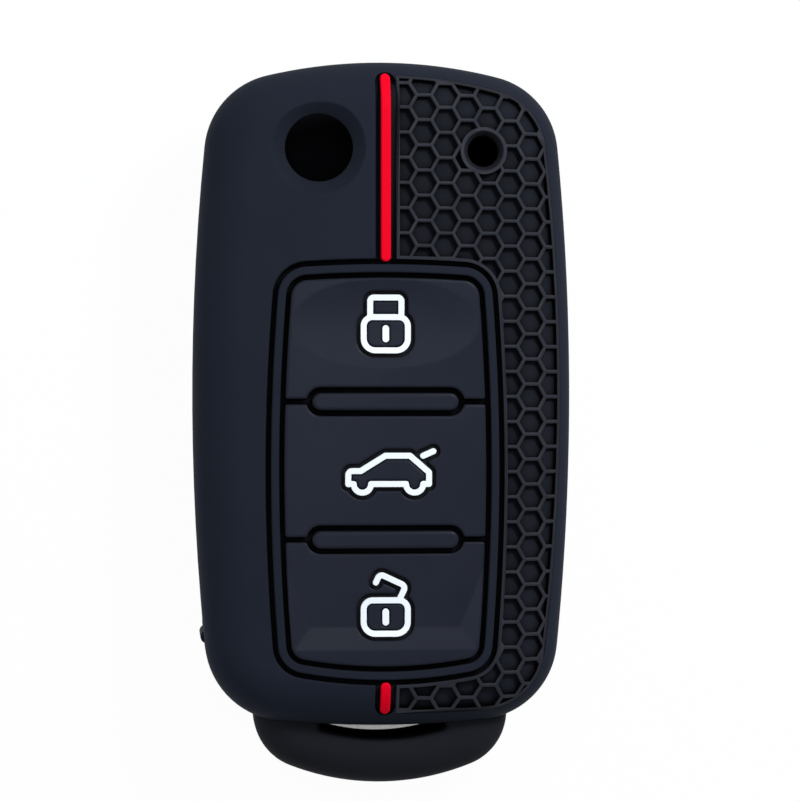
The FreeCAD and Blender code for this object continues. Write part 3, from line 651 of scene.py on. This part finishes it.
    def _where_lamp(self, without: Wire, with_lamp: Wire) -> Wire:
        """Return one of two meshes, by whether the field has a lamp hole."""
        return self.kit.add("GeometryNodeSwitch", {"input_type": "GEOMETRY"},
                            {"Switch": self.source["Lamp"], "False": without, "True": with_lamp})

    def _openings(self, inside: Wire) -> Wire:
        """Make the cells, trimmed to the border and the lamp's ring, without the scraps that are left there.

        Args:
            inside: The block that may hold cells.

        Returns:
            The solids to cut away.
        """
        kit = self.kit
        ring = self._post(self.source["Lamp Radius"] + self.source["Lamp Ring"])
        room = self._where_lamp(inside, self._boolean(Cut.LESS, inside, [ring]))
        cells = kit.add("GeometryNodeInstanceOnPoints", None,
                        {"Points": self._grid(), "Instance": self._cell()})
        cells = kit.add("GeometryNodeRealizeInstances", None, {"Geometry": cells})
        trimmed = self._boolean(Cut.SHARED, None, [cells, room])
        island = kit.add("GeometryNodeInputMeshIsland")["Island Index"]
        skin = kit.add("GeometryNodeAccumulateField", {"data_type": "FLOAT", "domain": "FACE"},
                       {"Value": kit.add("GeometryNodeInputMeshFaceArea"), "Group ID": island})["Total"]
        return kit.add("GeometryNodeDeleteGeometry", {"domain": "FACE"},
                       {"Geometry": trimmed, "Selection": skin < self.source["Scrap"]})

    def _lattice(self) -> Wire:
        """Make the flat lattice: the field's slab less its cells and the lamp hole.

        Returns:
            The lattice, with its face at height 0.
        """
        kit = self.kit
        depth = self.source["Depth"]
        is_inside = kit.add("GeometryNodeInputNamedAttribute", {"data_type": "BOOLEAN"},
                            {"Name": self.INSIDE})
        faces = kit.add("GeometryNodeSeparateGeometry", {"domain": "FACE"},
                        {"Geometry": self.source, "Selection": is_inside})
        slab = self._prism(faces["Inverted"], 0 - depth, 0)
        inside = self._prism(faces["Selection"], -self.TRIM - depth, depth + self.TRIM)
        lattice = self._boolean(Cut.LESS, slab, [self._openings(inside)])
        return self._where_lamp(lattice, self._boolean(Cut.LESS, lattice, [self._bore()]))

    def _laid(self, lattice: Wire) -> Wire:
        """Lay the lattice on the floor of its seat, facing outwards.

        Args:
            lattice: The flat lattice.

        Returns:
            The lattice in its place, in metres.
        """
        kit = self.kit
        outward = self.source["Outward"]
        seat = kit.add("GeometryNodeObjectInfo", {"transform_space": "ORIGINAL"},
                       {"Object": self.source["Seat"]})["Geometry"]
        x, y, z = kit.parts(kit.add("GeometryNodeInputPosition"))
        start = kit.vector(x * MM, y * MM, outward * (self.FAR * MM))
        hit = kit.add("GeometryNodeRaycast", None,
                      {"Target Geometry": seat, "Source Position": start,
                       "Ray Direction": kit.vector(0, 0, 0 - outward), "Ray Length": 2 * self.FAR * MM})
        floor = kit.parts(hit["Hit Position"])[2]
        height = floor + outward * (self.source["Depth"] + z) * MM
        laid = kit.add("GeometryNodeSetPosition", None,
                       {"Geometry": lattice, "Position": kit.vector(x * MM, y * MM, height)})
        turned = kit.add("GeometryNodeFlipFaces", None, {"Mesh": laid})
        return kit.add("GeometryNodeSwitch", {"input_type": "GEOMETRY"},
                       {"Switch": outward < 0, "False": laid, "True": turned})

    def _finish(self, laid: Wire) -> None:
        """End the tree with real geometry and its material.

        Args:
            laid: The lattice in its place.
        """
        real = self.kit.add("GeometryNodeRealizeInstances", None, {"Geometry": laid})
        dressed = self.kit.add("GeometryNodeSetMaterial", None,
                               {"Geometry": real, "Material": self.source["Material"]})
        self.kit.add("NodeGroupOutput", None, {"Geometry": dressed})

    def run(self, blank: bpy.types.Object, sizes: dict) -> bpy.types.Mesh:
        """Return the plain mesh that the tree makes of a blank.

        Args:
            blank: The object with the flat field.
            sizes: The value of each input by its name.

        Returns:
            The finished mesh.
        """
        modifier = blank.modifiers.new("honeycomb", "NODES")
        modifier.node_group = self.tree
        for item in self.tree.interface.items_tree:
            if item.in_out == "INPUT" and item.name in sizes:
                modifier[item.identifier] = sizes[item.name]
        bpy.context.view_layer.update()
        made = blank.evaluated_get(bpy.context.evaluated_depsgraph_get())
        mesh = bpy.data.meshes.new_from_object(made)
        blank.modifiers.clear()
        return mesh


@dataclass
class Honeycomb:
    """One honeycomb field, in millimetres.

    Attributes:
        node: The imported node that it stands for.
        face: The face of the cover that it is on.
        depth: The height of its ribs over the floor of its seat.
        margin: How far a field on the back lies inside the body's outline.
        start: Where the field starts, to the right of the middle line.
        cell_x: Where the middle of one cell is, across.
        lamp: Whether the lamp hole goes through it.
        pitch: The distance between the middles of two neighbouring cells.
        rib: The width of its ribs.
        edge: How far the ribs' edges are softened.
        border: How far inside the outline the cells end.
        clearance: The gap between the field and its seat.
        cell_y: Where the middle of that cell is, along.
        scrap: The least surface of a trimmed cell that is still cut, in square millimetres.
        lamp_x: Where the lamp hole is, across.
        lamp_y: Where the lamp hole is, along.
        lamp_radius: The radius of the lamp hole.
        lamp_ring: The width of the ring round it.
        lamp_flare: How much wider the hole is at its rim.
        lamp_sink: How deep the slope of its mouth goes.
        groove: How far outside the panel's outline a field on the front starts.
        smooth_turn: The angle above which an edge is shaded sharp, in degrees.
    """

    node: str
    face: Face
    depth: float
    margin: float
    start: float
    cell_x: float
    lamp: bool
    pitch: float = 2.8
    rib: float = 0.42
    edge: float = 0.1
    border: float = 0.38
    clearance: float = 0.03
    cell_y: float = 35.195
    scrap: float = 4.2
    lamp_x: float = 10.98
    lamp_y: float = 30.415
    lamp_radius: float = 1.77
    lamp_ring: float = 0.86
    lamp_flare: float = 0.48
    lamp_sink: float = 0.72
    groove: float = 0.275
    smooth_turn: float = 50.0

    def outline(self, inset: float) -> list[Vector]:
        """Draw the field's outline.

        Args:
            inset: How far it is drawn in.

        Returns:
            Points clockwise round the field.
        """
        start = self.start + inset
        if self.face is Face.BACK:
            return BODY.right_side(self.margin + inset, start)
        outer = FIELD.right_side(inset, start)
        inner = PANEL.right_side(-self.groove - inset, start)
        return outer + inner[::-1]

    def blank(self) -> bpy.types.Object:
        """Make the flat field and, marked, the part of it that may hold cells.

        Returns:
            An object with the two faces.
        """
        shape = bmesh.new()
        mark = shape.faces.layers.bool.new(HoneycombTree.INSIDE)
        for inset, inside in ((self.clearance, False), (self.border, True)):
            corners = [shape.verts.new((spot.x, spot.y, 0.0)) for spot in self.outline(inset)[::-1]]
            face = shape.faces.new(corners)
            face[mark] = inside
        shape.normal_update()
        mesh = bpy.data.meshes.new(self.node + "_blank")
        shape.to_mesh(mesh)
        shape.free()
        blank = bpy.data.objects.new(self.node + "_blank", mesh)
        bpy.context.scene.collection.objects.link(blank)
        return blank

    def sizes(self, finish: bpy.types.Material) -> dict:
        """Gather the tree's inputs for this field.

        Args:
            finish: The ribs' material.

        Returns:
            The value of each input by its name.
        """
        column = self.pitch * HEX_STEP
        spots = self.outline(0.0)
        first = math.floor((min(spot.x for spot in spots) - self.cell_x) / column)
        last = math.ceil((max(spot.x for spot in spots) - self.cell_x) / column)
        low = math.floor((min(spot.y for spot in spots) - self.cell_y) / self.pitch) - 1
        high = math.ceil((max(spot.y for spot in spots) - self.cell_y) / self.pitch)
        return {
            "Pitch": self.pitch, "Rib": self.rib, "Edge": self.edge, "Depth": self.depth, "Scrap": self.scrap,
            "First X": self.cell_x + first * column, "First Y": self.cell_y + low * self.pitch,
            "Columns": last - first + 1, "Rows": high - low + 1, "Stagger": first % 2, "Lamp": self.lamp,
            "Lamp X": self.lamp_x, "Lamp Y": self.lamp_y, "Lamp Radius": self.lamp_radius,
            "Lamp Ring": self.lamp_ring, "Lamp Flare": self.lamp_flare, "Lamp Sink": self.lamp_sink,
            "Outward": self.face.value, "Seat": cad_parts["sleeve"], "Material": finish,
        }

    def build(self, tree: HoneycombTree, finish: bpy.types.Material) -> bpy.types.Object:
        """Mould the ribs as a piece that stands for the node.

        Args:
            tree: The tree that moulds them.
            finish: Their material.

        Returns:
            The piece.
        """
        blank = self.blank()
        mesh = tree.run(blank, self.sizes(finish))
        flat = blank.data
        bpy.data.objects.remove(blank)
        bpy.data.meshes.remove(flat)
        mesh.shade_smooth()
        mesh.set_sharp_from_angle(angle=math.radians(self.smooth_turn))
        mesh.name = self.node + "_ribs"
        piece = bpy.data.objects.new(self.node + "_ribs", mesh)
        bpy.context.scene.collection.objects.link(piece)
        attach(piece, "cover")
        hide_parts(self.node)
        return piece


@dataclass
class CadDress:
    """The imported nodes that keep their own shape, by the finish that each gets."""

    shell: tuple[str, ...] = ("sleeve", "button_web")
    lug: tuple[str, ...] = ("keyring_lug",)
    pads: tuple[str, ...] = ("lock_button", "boot_button", "unlock_button", "upper_bar", "lower_bar")
    stripes: tuple[str, ...] = ("upper_front_stripe", "lower_front_stripe", "rear_stripe")
    symbols: tuple[str, ...] = ("lock_symbol", "lock_keyhole", "boot_symbol", "boot_lid_symbol",
                                "unlock_symbol", "unlock_keyhole")

    def dress(self, finishes: Finishes) -> None:
        """Give every node its finish.

        Args:
            finishes: The cover's finishes.
        """
        groups = ((self.shell, finishes.shell), (self.lug, finishes.lug), (self.pads, finishes.pad),
                  (self.stripes, finishes.red), (self.symbols, finishes.white))
        for names, finish in groups:
            for name in names:
                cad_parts[name].data.materials[0] = finish
                LOG.info("dressed %s in %s", name, finish.name)


@dataclass(frozen=True)
class SoftBox:
    """A soft area light.

    Attributes:
        name: The light's name.
        place: Where it stands, in metres.
        aim: What it points at, in metres.
        side: The length of its sides, in metres.
        power: Its power, in watts.
        colour: The colour of its light.
    """

    name: str
    place: Point
    aim: Point
    side: float
    power: float
    colour: Colour

    def build(self) -> None:
        """Add the light to the scene, turned to its aim."""
        lamp = bpy.data.lights.new(self.name, "AREA")
        lamp.shape = "RECTANGLE"
        lamp.size, lamp.size_y = self.side, self.side
        lamp.energy = self.power
        lamp.color = self.colour
        light = bpy.data.objects.new(self.name, lamp)
        light.location = self.place
        toward = Vector(self.aim) - Vector(self.place)
        light.rotation_euler = toward.to_track_quat("-Z", "Y").to_euler()
        bpy.context.scene.collection.objects.link(light)


COOL_WHITE: Colour = (0.93, 0.97, 1.0)
SKY_WHITE: Colour = (0.82, 0.91, 1.0)

KEY_BOX = SoftBox("key_box", place=(0.145, 0.175, 0.25), aim=(0.0, 0.0, 0.015), side=0.07, power=0.92,
                  colour=COOL_WHITE)
FRONT_BOX = SoftBox("front_box", place=(-0.035, 0.075, 0.45), aim=(-0.006, 0.012, 0.019), side=0.06, power=0.34,
                    colour=SKY_WHITE)
SIDE_BOX = SoftBox("side_box", place=(-0.60, 0.06, 0.16), aim=(0.0, 0.0, 0.01), side=0.3, power=0.6,
                   colour=COOL_WHITE)


@dataclass
class Studio:
    """The pale floor, the soft lights and the world around the cover.

    Attributes:
        floor_size: The length of the floor's sides, in metres.
        floor_drop: How far it lies under the cover, in metres.
        floor_tone: The colour that it throws back as light.
        floor_roughness: Its roughness.
        floor_glow: How much of what the camera sees of it is the plain white.
        floor_reach: How far off a thing still shades that white, in metres.
        floor_open: How open a spot is where the white is darkest, and where it is full.
        floor_least: The darkest tone of that white.
        world_tone: The colour of the light from all round.
        world_level: The strength of that light.
        lights: The soft lights.
    """

    floor_size: float = 3.0
    floor_drop: float = 0.0002
    floor_tone: Colour = (0.86, 0.86, 0.86)
    floor_roughness: float = 0.9
    floor_glow: float = 0.97
    floor_reach: float = 0.03
    floor_open: Span = (0.17, 0.42)
    floor_least: float = 0.08
    world_tone: Colour = (0.85, 0.93, 1.0)
    world_level: float = 0.3
    lights: tuple[SoftBox, ...] = (KEY_BOX, FRONT_BOX, SIDE_BOX)

    def _seen(self, kit: NodeKit) -> Wire:
        """Tell the rays that show the surroundings from those that light the cover.

        Args:
            kit: The nodes of the floor or the world.

        Returns:
            1 for the rays that show the surroundings, and 0 for the others.
        """
        ray = kit.add("ShaderNodeLightPath")
        return kit.math("MAXIMUM", ray["Is Camera Ray"],
                        kit.math("MAXIMUM", ray["Is Glossy Ray"], ray["Is Transmission Ray"]))

    def _floor_finish(self) -> bpy.types.Material:
        """Make a white that the camera sees as white, with a soft contact shadow.

        Returns:
            The floor's material.
        """
        made = bpy.data.materials.new("floor_white")
        made.use_nodes = True
        kit = NodeKit(made.node_tree)
        plain = kit.add("ShaderNodeBsdfPrincipled", None,
                        {"Base Color": (*self.floor_tone, 1.0), "Roughness": self.floor_roughness,
                         "Specular IOR Level": 0.0})
        sky = kit.add("ShaderNodeAmbientOcclusion", None, {"Distance": self.floor_reach})["AO"]
        darkest = (self.floor_least, self.floor_least, self.floor_least)
        shade = kit.blend(sky.between(*self.floor_open), darkest, PURE_WHITE)
        glow = kit.add("ShaderNodeEmission", None, {"Color": shade, "Strength": 1.0})
        mixed = kit.add("ShaderNodeMixShader", None,
                        {0: self._seen(kit) * self.floor_glow, 1: plain, 2: glow})
        kit.add("ShaderNodeOutputMaterial", None, {"Surface": mixed})
        return made

    def _floor(self) -> None:
        """Lay the floor, which throws no shadow on the cover's underside."""
        half, height = self.floor_size / 2, -self.floor_drop
        corners = [(-half, -half, height), (half, -half, height), (half, half, height), (-half, half, height)]
        mesh = bpy.data.meshes.new("floor")
        mesh.from_pydata(corners, [], [(0, 1, 2, 3)])
        mesh.materials.append(self._floor_finish())
        floor = bpy.data.objects.new("floor", mesh)
        floor.visible_shadow = False
        bpy.context.scene.collection.objects.link(floor)

    def _world(self) -> None:
        """Set up the world: white to look at, and a dim, cool light from all round."""
        world = bpy.data.worlds.new("studio")
        world.use_nodes = True
        kit = NodeKit(world.node_tree)
        level = tuple(self.world_level * value for value in self.world_tone)
        sky = kit.add("ShaderNodeBackground", None,
                      {"Color": kit.blend(self._seen(kit), level, PURE_WHITE), "Strength": 1.0})
        kit.add("ShaderNodeOutputWorld", None, {"Surface": sky})
        bpy.context.scene.world = world

    def build(self) -> None:
        """Set up the floor, the lights and the world."""
        self._floor()
        for light in self.lights:
            light.build()
        self._world()
        bpy.context.scene.view_settings.view_transform = "Standard"


@dataclass
class PhotoCamera:
    """The camera of the photograph: nearly straight above, leaning a little to the left.

    Attributes:
        aim: The point in the middle of the picture, in millimetres.
        distance: How far away the camera is, in millimetres.
        lean: How far it leans to the left, in degrees.
        lens: Its focal length, in millimetres.
        sensor: The width of its sensor, in millimetres.
        near: The nearest that it sees, in millimetres.
    """

    aim: Point = (1.56, 2.555, 19.0)
    distance: float = 330.0
    lean: float = 4.6
    lens: float = 133.65
    sensor: float = 36.0
    near: float = 10.0

    def build(self) -> None:
        """Place the camera and make it the scene's own."""
        data = bpy.data.cameras.new("photo_camera")
        data.lens = self.lens
        data.sensor_width = self.sensor
        data.sensor_fit = "HORIZONTAL"
        data.clip_start = self.near * MM
        camera = bpy.data.objects.new("photo_camera", data)
        lean = math.radians(self.lean)
        away = Vector((-math.sin(lean), 0.0, math.cos(lean))) * self.distance
        camera.location = (Vector(self.aim) + away) * MM
        camera.rotation_euler = (0.0, -lean, 0.0)
        bpy.context.scene.collection.objects.link(camera)
        bpy.context.scene.camera = camera


def main() -> None:
    """Build every part of the scene in order."""
    logging.basicConfig(level=logging.INFO, format="%(name)s: %(message)s")
    PhotoCamera().build()
    Studio().build()
    finishes = Finishes.make()
    CadDress().dress(finishes)
    tree = HoneycombTree()
    fields = (
        Honeycomb("front_honeycomb", Face.FRONT, depth=0.8, margin=0.0, start=1.165, cell_x=4.29, lamp=True),
        Honeycomb("rear_honeycomb", Face.BACK, depth=0.75, margin=4.3, start=1.6, cell_x=3.6, lamp=False),
    )
    for honeycomb in fields:
        piece = honeycomb.build(tree, finishes.rib)
        LOG.info("moulded %s with %d faces", piece.name, len(piece.data.polygons))


if __name__ == "__main__":
    main()
